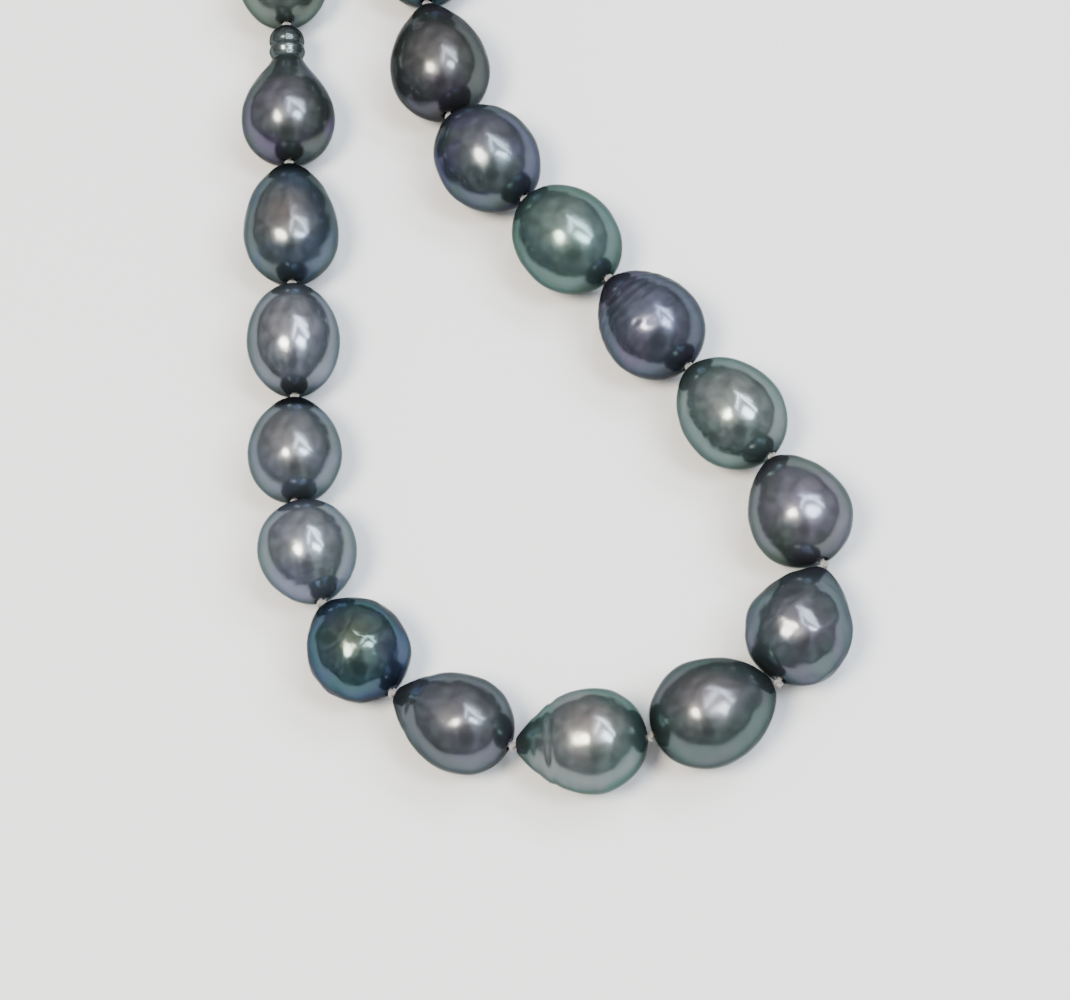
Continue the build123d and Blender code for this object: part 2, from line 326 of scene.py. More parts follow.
def draw_line(name, points, closed=False):
    """A new object that is one line of edges through these points."""
    bpy.ops.object.select_all(action="DESELECT")
    bpy.ops.mesh.primitive_circle_add(vertices=3, radius=1, location=(0, 0, 0))
    line = bpy.context.object
    line.name = name
    bpy.ops.object.mode_set(mode="EDIT")
    bpy.ops.mesh.select_all(action="SELECT")
    bpy.ops.mesh.merge(type="CENTER")
    bpy.ops.transform.translate(value=points[0])
    last = Vector(points[0])
    for point in list(points[1:]) + ([points[0]] if closed else []):
        step = Vector(point) - last
        bpy.ops.mesh.extrude_region_move(TRANSFORM_OT_translate={"value": tuple(step)})
        last = Vector(point)
    bpy.ops.mesh.select_all(action="SELECT")
    bpy.ops.mesh.remove_doubles(threshold=1e-5)
    bpy.ops.object.mode_set(mode="OBJECT")
    return line


def spin_body(line, steps=SPIN_STEPS):
    """Spins a closed line about the Z axis, and turns the body's faces outwards."""
    bpy.ops.object.mode_set(mode="EDIT")
    bpy.ops.mesh.select_all(action="SELECT")
    bpy.ops.mesh.spin(steps=steps, angle=2 * math.pi, center=(0, 0, 0), axis=(0, 0, 1))
    bpy.ops.mesh.select_all(action="SELECT")
    bpy.ops.mesh.remove_doubles(threshold=1e-3)
    bpy.ops.mesh.normals_make_consistent(inside=False)
    bpy.ops.mesh.select_all(action="DESELECT")
    bpy.ops.object.mode_set(mode="OBJECT")


def pull(body, spot, amount, reach):
    """Moves the surface near a spot by an amount, less and less out to this reach."""
    nearest = min(body.data.vertices, key=lambda vertex: (vertex.co - spot).length_squared)
    nearest.select = True
    bpy.ops.object.mode_set(mode="EDIT")
    bpy.ops.transform.translate(
        value=amount,
        use_proportional_edit=True,
        proportional_edit_falloff="SMOOTH",
        proportional_size=reach,
    )
    bpy.ops.mesh.select_all(action="DESELECT")
    bpy.ops.object.mode_set(mode="OBJECT")


def finish_with(piece, kind, **settings):
    """Adds a modifier with these settings and applies it."""
    modifier = piece.modifiers.new(kind, kind)
    for setting, value in settings.items():
        setattr(modifier, setting, value)
    bpy.context.view_layer.objects.active = piece
    bpy.ops.object.modifier_apply(modifier=modifier.name)


print("helpers ready: draw_line, spin_body, pull, finish_with")

# %% [markdown]
# ## A pearl's outline
# A drop pearl is round at one end and drawn out at the other. Both halves follow the same
# curve, a circle whose radius is raised to a power: 0.5 is a true ellipse, and larger numbers
# give a longer, more pointed end. Growth rings are narrow dips in that outline, because such a
# pearl turned in its oyster while it grew.

# %% Draw an outline
HALF_STEPS = 22
NECK_STEPS = 5


def half_outline(radius, length, taper):
    """Radius and distance from the widest place, out to the mouth of the drill hole."""
    mouth_turn = math.acos((MOUTH_RADIUS / radius) ** (0.5 / taper))
    reach = length / math.sin(mouth_turn)
    turns = [mouth_turn * step / HALF_STEPS for step in range(HALF_STEPS + 1)]
    return [(radius * math.cos(turn) ** (2 * taper), reach * math.sin(turn)) for turn in turns]


def necked_half(radius, length):
    """The half that draws out into a neck with two ringed lips, as one smooth line."""
    shoulder = [(0.995, 0.045), (0.97, 0.12), (0.86, 0.26), (0.68, 0.40), (0.50, 0.52)]
    knots = [(radius, -0.001 * length), (radius, 0.0)]
    knots += [(radius * share, length * z) for share, z in shoulder]
    lips = [(2.2, 0.62), (2.16, 0.67), (2.44, 0.73), (2.24, 0.785), (2.4, 0.84), (2.2, 0.91)]
    knots += [(r, length * z) for r, z in lips]
    knots += [(1.35, length * 0.975), (MOUTH_RADIUS, length), (MOUTH_RADIUS, length)]
    line = []
    for before, start, end, after in zip(knots, knots[1:], knots[2:], knots[3:]):
        for step in range(NECK_STEPS):
            t = step / NECK_STEPS
            weights = (
                (-t + 2 * t**2 - t**3) / 2,
                (2 - 5 * t**2 + 3 * t**3) / 2,
                (t + 4 * t**2 - 3 * t**3) / 2,
                (-(t**2) + t**3) / 2,
            )
            corners = (before, start, end, after)
            line.append(tuple(sum(w * c[i] for w, c in zip(weights, corners)) for i in (0, 1)))
    return line + [(MOUTH_RADIUS, length)]


def pearl_outline(size, tapers, rings, necked=False):
    """The whole closed outline: the skin, then the countersunk drill hole back to the start."""
    start, widest, end, radius = size
    inner = half_outline(radius, widest - start, tapers[0])
    outer = half_outline(radius, end - widest, tapers[1])
    if necked:
        outer = necked_half(radius, end - widest)
    skin = [(r, widest - z) for r, z in reversed(inner)] + [(r, widest + z) for r, z in outer[1:]]
    ringed = []
    for r, z in skin:
        station = (z - start) / (end - start)
        for place, depth, width in rings:
            r -= depth * math.exp(-(((station - place) / width) ** 2))
        ringed.append((max(r, MOUTH_RADIUS), 0, z))
    sink = MOUTH_RADIUS - BORE_RADIUS
    hole = [(BORE_RADIUS, 0, end - sink), (BORE_RADIUS, 0, (start + end) / 2)]
    return ringed + hole + [(BORE_RADIUS, 0, start + sink)]


print("outline of a round pearl:", len(pearl_outline((0.2, 7, 14, 6.5), (0.5, 0.5), [])), "points")

# %% [markdown]
# ## The tones of nacre
# Nacre is thousands of thin clear layers over a dark body. Light comes back from all of them, so
# the surface has the gloss of a mirror, a tint of its own and a deeper glow. Each pearl's tones
# are written as the light colours that a viewer would name, and then darkened and greyed a
# little, as the thin layers do over a dark body.

# %% Mix the tones
NACRE_DEPTH = 0.41
NACRE_GREY = 0.12


def tone(code):
    """A colour from its six hex digits, as the shader wants it."""
    values = [int(code[i : i + 2], 16) / 255 for i in (0, 2, 4)]
    values = [v / 12.92 if v <= 0.04045 else ((v + 0.055) / 1.055) ** 2.4 for v in values]
    return (*values, 1)


def deep_tone(code):
    """The same, darker and greyer: the tone that thin layers of nacre give over a dark body."""
    values = tone(code)[:3]
    grey = sum(values) / 3
    return (*[NACRE_DEPTH * (v + (grey - v) * NACRE_GREY) for v in values], 1)


print("aubergine:", [round(v, 2) for v in tone("857b8d")], "as a shader colour")

# %% [markdown]
# ## The patterns of nacre
# The colour of a pearl is never even. On the side that faces up is painted light: a lighter,
# tinted ball of colour, which a spherical gradient gives. Its tint is the pearl's own, and its
# lightness on top stands in for the light from above. Over the body lie soft clouds of a third
# tone: a noise whose edges are tightened. Around the pearl run paler and darker bands, where it
# grew in rings. They follow the pearl's own length, so they read the station, a number from 0 to
# 1 that each vertex carries, through a noise with one dimension. The ends are the darkest.

# %% Draw the patterns
# The patch of painted top light: its place over each pearl's middle, and its size, in mm.
PAINTED_TOP_LIGHT_SPOT = (0.4, 6.0, 0.3, 5.4)
CLOUD_SCALE = 170
CLOUD_EDGES = {"From Min": 0.42, "From Max": 0.66}
BAND_SCALE = 9
BAND_STRENGTH = 0.12
END_GREYS = (0.75, 0.6)
END_CAP = 0.97


# A lighter, tinted patch painted on each pearl's top as light from above, over the pearl's own
# tint.
def painted_top_light_patch(tree, place, middle, spot):
    """A round patch. Its spot says how far to the side, up and along, and its size, in mm."""
    side, up, along, size = spot
    values = {"Vector": place, "Location": middle + Vector((side, along, up)) * MM}
    values["Scale"] = (size * MM, size * MM, size * MM)
    moved = add_node(tree, "Mapping", values, vector_type="TEXTURE").outputs["Vector"]
    patch = add_node(tree, "TexGradient", {"Vector": moved}, gradient_type="SPHERICAL")
    return patch.outputs["Fac"]


def edged_clouds(tree, clouds):
    """The clouds with tighter edges."""
    values = {"Value": clouds, **CLOUD_EDGES}
    edged = add_node(tree, "MapRange", values, interpolation_type="SMOOTHSTEP")
    return edged.outputs["Result"]


def growth_bands(tree, station, look):
    """A grey near 1 that changes in bands from one end of the pearl to the other."""
    values = {"W": station, "Scale": look.get("band_scale", BAND_SCALE), "Detail": 4}
    bands = add_node(tree, "TexNoise", values, noise_dimensions="1D").outputs["Fac"]
    strength = look.get("bands", BAND_STRENGTH)
    values = {"Value": bands, "To Min": 1 - strength, "To Max": 1 + strength}
    return add_node(tree, "MapRange", values).outputs["Result"]


def end_shade(tree, station, look):
    """A grey that is 1 along the pearl and darker at its two ends."""
    shade = add_node(tree, "ValToRGB", {"Fac": station})
    stops = shade.color_ramp.elements
    shade.color_ramp.interpolation = "EASE"
    inner_dark, outer_dark = look.get("ends", END_GREYS)
    stops[0].position = 0.0
    stops[0].color = (inner_dark,) * 3 + (1,)
    stops[1].position = 1.0
    stops[1].color = (outer_dark,) * 3 + (1,)
    cap = look.get("cap", END_CAP)
    for spot in (0.16, min(cap - 0.02, 0.78)):
        stops.new(spot).color = (1, 1, 1, 1)
    stops.new(cap).color = (outer_dark,) * 3 + (1,)
    return shade.outputs["Color"]


def blend_tones(tree, kind, factor, first, second):
    """Two tones mixed or multiplied. Each may be another node's output or a plain value."""
    values = {"Factor": factor, "A": first, "B": second}
    return add_node(tree, "Mix", values, data_type="RGBA", blend_type=kind).outputs["Result"]


print("patterns ready: blush, clouds, bands and ends")

# %% [markdown]
# ## The gloss of nacre
# A mostly metallic shader gives the tinted mirror, a clear coat gives the sharp glint on top of
# it, and a thin film gives the overtones of green and rose that shift with the angle. The gloss
# changes softly with the clouds. Two bumps make the skin not quite even: a broad one like
# hammered metal, and a fine grain on top of it.

# %% Put the nacre together
NACRE = {
    "Coat Weight": 0.12,
    "Coat Roughness": 0.06,
    "Coat IOR": 1.55,
    "Thin Film Thickness": 380,
    "Thin Film IOR": 1.4,
}
RIM_TINT = "7f8a88"
MIRROR = 0.85
GLOSS = 0.22
HAMMER = {"scale": 520, "depth": 0.00012, "strength": 0.3}
GRAIN = {"scale": 1500, "depth": 0.00002, "strength": 0.25}


def mix_nacre(name, middle, look):
    """A material for one pearl. Its middle is in metres; look holds its tones and gloss."""
    values = {"Metallic": MIRROR, "Specular Tint": tone(RIM_TINT), **NACRE}
    nacre, tree, skin, place = new_finish(name, values)
    station = add_node(tree, "Attribute", {}, attribute_name="station").outputs["Fac"]
    clouds = add_noise(tree, place, CLOUD_SCALE, 3, Roughness=0.45, Distortion=0.6)
    # Painted light: a lighter, tinted patch on the top of each pearl, where light from above falls.
    painted_top_light = painted_top_light_patch(tree, place, middle, PAINTED_TOP_LIGHT_SPOT)

    body, cloud = deep_tone(look["body"]), deep_tone(look["cloud"])
    colour = blend_tones(tree, "MIX", edged_clouds(tree, clouds), body, cloud)
    # Mix in the lighter tone of the painted top light.
    colour = blend_tones(tree, "MIX", painted_top_light, colour, deep_tone(look["painted_top_light"]))
    colour = blend_tones(tree, "MULTIPLY", 1.0, colour, growth_bands(tree, station, look))
    colour = blend_tones(tree, "MULTIPLY", 1.0, colour, end_shade(tree, station, look))

    gloss = look.get("gloss", GLOSS)
    values = {"Value": clouds, "To Min": gloss - 0.03, "To Max": gloss + 0.05}
    roughness = add_node(tree, "MapRange", values).outputs["Result"]
    hammer = add_noise(tree, place, HAMMER["scale"], 1)
    hammer_strength = look.get("hammer", HAMMER["strength"])
    hammered = add_bump(tree, hammer, hammer_strength, HAMMER["depth"])
    grain = add_noise(tree, place, GRAIN["scale"])
    grained = add_bump(tree, grain, GRAIN["strength"], GRAIN["depth"], Normal=hammered)
    fill_in(tree, skin, {"Base Color": colour, "Roughness": roughness, "Normal": grained})
    return nacre


print("nacre: ready to mix, with a film of", NACRE["Thin Film Thickness"], "nanometres")

# %% [markdown]
# ## Shaping one pearl
# A pearl is drawn, spun, dented and moved to its place. Each mark is a pull on one
# vertex: how far along the pearl, how many degrees around it from the top, how far out or in,
# and how wide. A Subdivision Surface then smooths it all. Sculpting would do this too, but these
# few pulls can be read and changed.

# %% Shape a pearl
SMOOTH_ANGLE = math.radians(50)


def shape_pearl(name, size, look):
    """The body of one pearl, in its place in the strand."""
    start, _, end, radius = size
    outline = pearl_outline(size, look["tapers"], look.get("rings", []), look.get("necked"))
    pearl = draw_line(name + "_nacre", outline, closed=True)
    spin_body(pearl)
    for station, around, amount, reach in look.get("marks", []):
        turn = math.radians(around)
        outwards = Vector((math.sin(turn), math.cos(turn), 0))
        spot = outwards * radius + Vector((0, 0, start + station * (end - start)))
        pull(pearl, spot, outwards * amount, reach)
    pearl.matrix_world = strand_place(name)
    bpy.ops.object.transform_apply(location=True, rotation=True, scale=True)
    finish_with(pearl, "SUBSURF", levels=1, render_levels=1)
    return pearl


print("a pearl is spun in", SPIN_STEPS, "steps")

# %% [markdown]
# ## The waves in its skin
# A Displace modifier adds the slight waviness of a skin that grew over months. A vertex group
# holds it back at the drill hole, so that the pearl still turns freely on its silk. The station
# is written last, once nothing changes the mesh any more.

# %% Wave the skin
WAVE_SIZE = 0.0042
WAVE_STRENGTH = 1.4
WAVE_USUAL = 0.2
FLAT_RADIUS, WAVY_RADIUS = 1.3, 2.8

waves = bpy.data.textures.new("waves in the nacre", type="CLOUDS")
waves.noise_scale = WAVE_SIZE
waves.noise_depth = 1


def wave_skin(pearl, name, size, look):
    """Gives a pearl its waviness, and each vertex its station along the drill hole."""
    start, _, end, _ = size
    to_pearl = strand_place(name).inverted()
    corners = [to_pearl @ vertex.co for vertex in pearl.data.vertices]
    skin = pearl.vertex_groups.new(name="skin")
    for index, corner in enumerate(corners):
        share = (math.hypot(corner.x, corner.y) - FLAT_RADIUS) / (WAVY_RADIUS - FLAT_RADIUS)
        skin.add([index], min(max(share, 0), 1), "REPLACE")
    finish_with(
        pearl,
        "DISPLACE",
        texture=waves,
        texture_coords="LOCAL",
        strength=WAVE_STRENGTH * look.get("wave", WAVE_USUAL) * MM,
        mid_level=0.5,
        vertex_group="skin",
    )
    pearl.data.attributes.new("station", "FLOAT", "POINT")
    stations = [(corner.z - start) / (end - start) for corner in corners]
    pearl.data.attributes["station"].data.foreach_set("value", stations)


print("waves:", WAVE_SIZE / MM, "mm wide")

# %% [markdown]
# ## Putting a pearl in the strand
# The finished pearl takes the place of its plain solid and turns with it. Each pearl's look is a
# short list: the taper of its two halves, its three tones, and whatever sets it apart. A function
# makes every pearl on such a list, so a new strand needs only a new list.

# %% Make the pearls of a list
def make_pearl(name, look):
    """Models one pearl, gives it its nacre and puts it in place of the plain solid."""
    size = measure_pearl(name)
    pearl = shape_pearl(name, size, look)
    wave_skin(pearl, name, size, look)
    bpy.ops.object.shade_smooth_by_angle(angle=SMOOTH_ANGLE)
    knot, along = drill_holes[name]
    middle = knot + along * size[1] * MM
    pearl.data.materials.append(mix_nacre(f"nacre of {name}", middle, look))
    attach(pearl, name)
    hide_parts(name)
    print(name, "made,", len(pearl.data.polygons), "faces")


def make_pearls(looks):
    """Makes every pearl of a list."""
    for name, look in looks.items():
        make_pearl(name, look)


print("ready to make", len(drill_holes), "pearls")

# %% [markdown]
# ## The middle of the strand
# The largest pearl hangs at the bottom of the loop. It is a fat drop, charcoal, with a mauve
# tint painted lighter on its top as light from above, and teal down its sides.

# %% The centre pearl
# In each look, the third tone is the lighter one painted on the pearl's top as light from above.
pearl_looks = {
    "pearl_14": dict(
        slot="pearl_charcoal",
        tapers=(0.50, 0.66),
        body="6f8482",
        cloud="7c8288",
        painted_top_light="94898a",
        wave=0.16,
        marks=[(0.82, 20, -0.14, 2.2), (0.30, -60, -0.12, 3.0)],
    ),
}
make_pearls(pearl_looks)

# %% [markdown]
# ## The turn on the left
# From the centre towards the clasp, no two pearls are alike. The first carries a ring groove, the
# next ends in a dented cone, and the third is a small peacock blue one.

# %% Pearls 13 to 11
left_turn_looks = {
    "pearl_13": dict(
        slot="pearl_green",
        tapers=(0.50, 0.90),
        body="7fa19c",
        cloud="9aa4a6",
        painted_top_light="afa29c",
        rings=[(0.705, 0.30, 0.014), (0.74, -0.08, 0.014), (0.83, 0.12, 0.015)],
        wave=0.2,
        band_scale=14,
        marks=[(0.90, 10, -0.10, 1.6)],
    ),
    "pearl_12": dict(
        slot="pearl_aubergine",
        tapers=(0.50, 0.86),
        body="757f86",
        cloud="7f8494",
        painted_top_light="88858a",
        rings=[(0.80, 0.10, 0.02)],
        wave=0.2,
        marks=[(0.86, 30, -0.22, 1.8), (0.80, -30, 0.16, 1.6), (0.9, -60, -0.16, 1.5)],
    ),
    "pearl_11": dict(
        slot="pearl_peacock",
        tapers=(0.50, 0.66),
        body="4f7780",
        cloud="5d6f92",
        painted_top_light="74806a",
        wave=0.34,
        hammer=0.8,
        gloss=0.18,
        marks=[(0.5, -20, -0.18, 2.2), (0.62, 20, -0.14, 2.0), (0.4, 25, 0.12, 2.0)],
    ),
}
make_pearls(left_turn_looks)

# %% [markdown]
# ## Up the left side
# Four paler pearls stand in a row, the first with faint rings at one end and two with dark caps.
# The one after them draws out into a long neck with two lips.

# %% Pearls 10 to 05
left_side_looks = {
    "pearl_10": dict(
        slot="pearl_silver",
        tapers=(0.58, 0.50),
        body="93a3a8",
        cloud="939cb4",
        painted_top_light="adaeb6",
        rings=[(0.08, 0.07, 0.020), (0.15, 0.09, 0.020), (0.22, 0.06, 0.020)],
        wave=0.12,
        gloss=0.2,
        ends=(0.9, 0.7),
    ),
    "pearl_09": dict(
        slot="pearl_silver",
        tapers=(0.50, 0.62),
        body="87949a",
        cloud="8f9ab0",
        painted_top_light="a8a4a4",
        rings=[(0.87, 0.09, 0.014)],
        wave=0.14,
        ends=(0.8, 0.18),
        cap=0.87,
    ),
    "pearl_08": dict(
        slot="pearl_silver",
        tapers=(0.53, 0.53),
        body="8d98a0",
        cloud="9aa3b6",
        painted_top_light="b0acb0",
        wave=0.08,
        gloss=0.18,
        ends=(0.5, 0.7),
    ),
    "pearl_07": dict(
        slot="pearl_aubergine",
        tapers=(0.50, 0.66),
        body="77878c",
        cloud="6d7f96",
        painted_top_light="92867f",
        wave=0.24,
        ends=(0.7, 0.25),
        cap=0.93,
        marks=[(0.6, 10, -0.12, 1.4), (0.72, -25, -0.12, 1.4), (0.5, -50, -0.08, 1.2)],
    ),
    "pearl_06": dict(
        slot="pearl_aubergine",
        tapers=(0.50, 1.00),
        body="75807f",
        cloud="81789a",
        painted_top_light="8b8790",
        necked=True,
        wave=0.16,
        marks=[(0.62, 30, -0.12, 2.0)],
    ),
    "pearl_05": dict(
        slot="pearl_aubergine",
        tapers=(0.50, 0.52),
        body="83958c",
        cloud="8c9a94",
        painted_top_light="9aa29e",
        wave=0.12,
    ),
}
make_pearls(left_side_looks)

# %% [markdown]
# ## To the clasp
# The last four get smaller and rounder. Their tones take turns, as they do in a strand that was
# graded by hand.

# %% Pearls 04 to 01
left_end_looks = {
    "pearl_04": dict(
        slot="pearl_charcoal",
        tapers=(0.50, 0.58),
        body="757f82",
        cloud="7f7b8a",
        painted_top_light="8a858d",
        rings=[(0.8, 0.08, 0.016)],
        marks=[(0.6, 20, -0.12, 2.0)],
    ),
    "pearl_03": dict(
        slot="pearl_aubergine",
        tapers=(0.50, 0.54),
        body="7b7886",
        cloud="7a8a92",
        painted_top_light="93879a",
        wave=0.22,
    ),
    "pearl_02": dict(
        slot="pearl_green",
        tapers=(0.50, 0.58),
        body="7f9a92",
        cloud="8d9b9e",
        painted_top_light="a3a19c",
        rings=[(0.74, 0.1, 0.018)],
    ),
    "pearl_01": dict(
        slot="pearl_peacock",
        tapers=(0.52, 0.52),
        body="5f8586",
        cloud="66789a",
        painted_top_light="7d8a84",
        wave=0.24,
    ),
}
make_pearls(left_end_looks)

# %% [markdown]
# ## The turn on the right
# From the centre towards the end ring come a hammered drop, two smooth ones, and a drop with lines
# around it and pits between them.

# %% Pearls 15 to 18
right_turn_looks = {
    "pearl_15": dict(
        slot="pearl_aubergine",
        tapers=(0.52, 0.84),
        body="74868c",
        cloud="7f8294",
        painted_top_light="8e8890",
        wave=0.4,
        hammer=0.8,
        marks=[
            (0.30, 25, 0.22, 2.6),
            (0.62, -20, -0.2, 2.0),
            (0.7, 25, -0.18, 1.8),
            (0.5, -60, -0.16, 2.2),
        ],
    ),
    "pearl_16": dict(
        slot="pearl_silver",
        tapers=(0.50, 0.70),
        body="808e8a",
        cloud="8d8c9c",
        painted_top_light="9e98aa",
        wave=0.18,
    ),
    "pearl_17": dict(
        slot="pearl_green",
        tapers=(0.50, 0.60),
        body="86a09c",
        cloud="97a6a6",
        painted_top_light="aeb2ac",
        wave=0.16,
        gloss=0.18,
    ),
    "pearl_18": dict(
        slot="pearl_aubergine",
        tapers=(0.50, 0.72),
        body="6c7788",
        cloud="7c7892",
        painted_top_light="80839a",
        rings=[(0.52, 0.09, 0.012), (0.6, 0.14, 0.013), (0.68, 0.1, 0.012), (0.77, 0.12, 0.013)],
        wave=0.16,
        band_scale=22,
        bands=0.2,
        marks=[(0.45, 25, -0.2, 0.7), (0.4, -20, -0.18, 0.7), (0.36, 5, -0.16, 0.7)],
    ),
}
make_pearls(right_turn_looks)

# %% [markdown]
# ## Up the right side
# A row of small marks along a pearl reads as a crack, as on the second of these, or as two
# lengthwise streaks, as on the dark drop after it.

# %% Pearls 19 to 22
right_side_looks = {
    "pearl_19": dict(
        slot="pearl_green",
        tapers=(0.50, 0.54),
        body="78978f",
        cloud="7a9a9c",
        painted_top_light="93a69c",
        wave=0.14,
    ),
    "pearl_20": dict(
        slot="pearl_charcoal",
        tapers=(0.50, 0.51),
        body="6f7f82",
        cloud="75789a",
        painted_top_light="86848e",
        wave=0.18,
        marks=[(0.06 + 0.045 * step, 50 - 2 * step, -0.16, 0.9) for step in range(7)],
    ),
    "pearl_21": dict(
        slot="pearl_charcoal",
        tapers=(0.50, 0.92),
        body="69716f",
        cloud="706c7c",
        painted_top_light="857f7c",
        wave=0.16,
        marks=[
            (0.66, 14, -0.16, 1.2),
            (0.73, 12, -0.16, 1.2),
            (0.80, 10, -0.14, 1.1),
            (0.66, -22, -0.14, 1.2),
            (0.73, -20, -0.14, 1.2),
            (0.80, -18, -0.12, 1.1),
        ],
    ),
    "pearl_22": dict(
        slot="pearl_peacock",
        tapers=(0.50, 0.52),
        body="5f7f82",
        cloud="657290",
        painted_top_light="7a8482",
        wave=0.24,
    ),
}
make_pearls(right_side_looks)

# %% [markdown]
# ## To the end ring
# The last five get smaller and rounder, like those at the clasp.

# %% Pearls 23 to 27
right_end_looks = {
    "pearl_23": dict(
        slot="pearl_aubergine",
        tapers=(0.50, 0.58),
        body="74808a",
        cloud="7f7a94",
        painted_top_light="8f869c",
        rings=[(0.76, 0.09, 0.016)],
    ),
    "pearl_24": dict(
        slot="pearl_green",
        tapers=(0.50, 0.54),
        body="7a968c",
        cloud="8a9a98",
        painted_top_light="9ea29a",
    ),
    "pearl_25": dict(
        slot="pearl_charcoal",
        tapers=(0.50, 0.58),
        body="6f787c",
        cloud="7b7788",
        painted_top_light="8a828c",
        wave=0.26,
        marks=[(0.7, 10, -0.14, 1.8)],
    ),
    "pearl_26": dict(
        slot="pearl_silver",
        tapers=(0.50, 0.52),
        body="8c9498",
        cloud="959cae",
        painted_top_light="a9a5b0",
    ),
    "pearl_27": dict(
        slot="pearl_aubergine",
        tapers=(0.52, 0.52),
        body="78808c",
        cloud="7f7a90",
        painted_top_light="8e879a",
    ),
}
make_pearls(right_end_looks)

# %% [markdown]
# ## The silk's finish
# The pearls are strung on silk, which is a cloudy grey with a soft sheen. The fibres are too
# fine to model, so one fine noise gives both their two tones and their bump.

# %% Spin the silk's own material
SILK_TONES = ("595552", "918c87")
FIBRE_SCALE = 6000
FIBRE_DEPTH = 0.00004
SILK = {
    "Roughness": 0.6,
    "Sheen Weight": 0.5,
    "Sheen Roughness": 0.4,
    "Subsurface Weight": 0.1,
    "Subsurface Radius": (0.0004, 0.0003, 0.0002),
}

silk_finish, silk_tree, silk_skin, silk_place = new_finish("knotted silk", SILK)
fibres = add_noise(silk_tree, silk_place, FIBRE_SCALE, 3)
silk_ramp = add_node(silk_tree, "ValToRGB", {"Fac": fibres})
for stop, code in zip(silk_ramp.color_ramp.elements, SILK_TONES):
    stop.color = tone(code)
fibre_bump = add_bump(silk_tree, fibres, 0.4, FIBRE_DEPTH)
fill_in(silk_tree, silk_skin, {"Base Color": silk_ramp.outputs["Color"], "Normal": fibre_bump})
print("silk: cloudy grey, with a soft sheen")

# %% [markdown]
# ## One knot
# A knot stands between each pair of pearls, so that they don't rub and none is lost if the
# thread breaks. It is a real overhand knot: a line through the loops of a trefoil, turned into a
# curve and given the thread's thickness. It is modelled once and copied.

# %% Tie one knot
KNOT_STRAND = 0.2
KNOT_SIZE = 0.155
KNOT_STEPS = 48


def thicken(line, radius, sides=2):
    """Turns a drawn line into a round strand of this radius."""
    bpy.context.view_layer.objects.active = line
    bpy.ops.object.convert(target="CURVE")
    line.data.bevel_depth = radius
    line.data.bevel_resolution = sides
    line.data.use_fill_caps = True
    bpy.ops.object.convert(target="MESH")


def knot_point(turn):
    """A point of the trefoil that an overhand knot makes when it is drawn tight."""
    return (
        KNOT_SIZE * (math.sin(turn) + 2 * math.sin(2 * turn)),
        KNOT_SIZE * (math.cos(turn) - 2 * math.cos(2 * turn)),
        -1.5 * KNOT_SIZE * math.sin(3 * turn),
    )


knot_turns = [2 * math.pi * step / KNOT_STEPS for step in range(KNOT_STEPS)]
knot_pattern = draw_line("knot_pattern", [knot_point(turn) for turn in knot_turns], closed=True)
thicken(knot_pattern, KNOT_STRAND)
print("knot:", [round(value, 2) for value in knot_pattern.dimensions], "mm")

# %% [markdown]
# ## The thread
# The thread is twisted from three plies. Three spirals side by side would do, but their insides
# never show, so the three-lobed section of the twist is drawn instead and run up the drill hole
# with a Screw modifier, which turns it as it climbs.

# %% Twist the thread
PLY_RADIUS = 0.17
THREAD_RADIUS = 0.34
PLY_GROOVE = PLY_RADIUS * 0.45
TWIST_PITCH = 1.3
SECTION_STEPS = 18
STEPS_PER_TWIST = 12


def twist_thread(name, start, end):
    """A twisted thread along Z from start to end, capped at both ends."""
    lobes = []
    for step in range(SECTION_STEPS):
        turn = 2 * math.pi * step / SECTION_STEPS
        out = THREAD_RADIUS - PLY_GROOVE * (1 - math.cos(3 * turn)) / 2
        lobes.append((out * math.cos(turn), out * math.sin(turn), start))
    thread = draw_line(name, lobes, closed=True)
    turns = (end - start) / TWIST_PITCH
    steps = max(int(turns * STEPS_PER_TWIST), STEPS_PER_TWIST)
    finish_with(
        thread,
        "SCREW",
        axis="Z",
        angle=2 * math.pi * turns,
        screw_offset=end - start,
        steps=steps,
        render_steps=steps,
        use_merge_vertices=False,
    )
    bpy.ops.object.mode_set(mode="EDIT")
    bpy.ops.mesh.select_all(action="DESELECT")
    bpy.ops.mesh.select_non_manifold()
    bpy.ops.mesh.fill_holes(sides=0)
    bpy.ops.mesh.select_all(action="SELECT")
    bpy.ops.mesh.normals_make_consistent(inside=False)
    bpy.ops.mesh.select_all(action="DESELECT")
    bpy.ops.object.mode_set(mode="OBJECT")
    return thread


print("thread: 3 plies,", 2 * THREAD_RADIUS, "mm thick")

# %% [markdown]
# ## Copying and joining
# A part that repeats is modelled once, and each copy gets its own mesh, so that it can be moved
# and joined without touching the pattern.

# %% Helpers for copies
def copy_at(pattern, name, place):
    """A copy of a pattern piece with its own mesh, moved by a matrix."""
    bpy.ops.object.select_all(action="DESELECT")
    pattern.select_set(True)
    bpy.context.view_layer.objects.active = pattern
    bpy.ops.object.duplicate()
    copy = bpy.context.object
    copy.name = name
    copy.matrix_world = place
    bpy.ops.object.transform_apply(location=True, rotation=True, scale=True)
    return copy


def join_to(piece, others):
    """Joins other pieces into the first one."""
    bpy.ops.object.select_all(action="DESELECT")
    for other in others:
        other.select_set(True)
    piece.select_set(True)
    bpy.context.view_layer.objects.active = piece
    bpy.ops.object.join()


def coat(piece, finish):
    """Leaves this finish as the piece's only one."""
    piece.data.materials.clear()
    piece.data.materials.append(finish)


print("helpers ready: copy_at, join_to, coat")

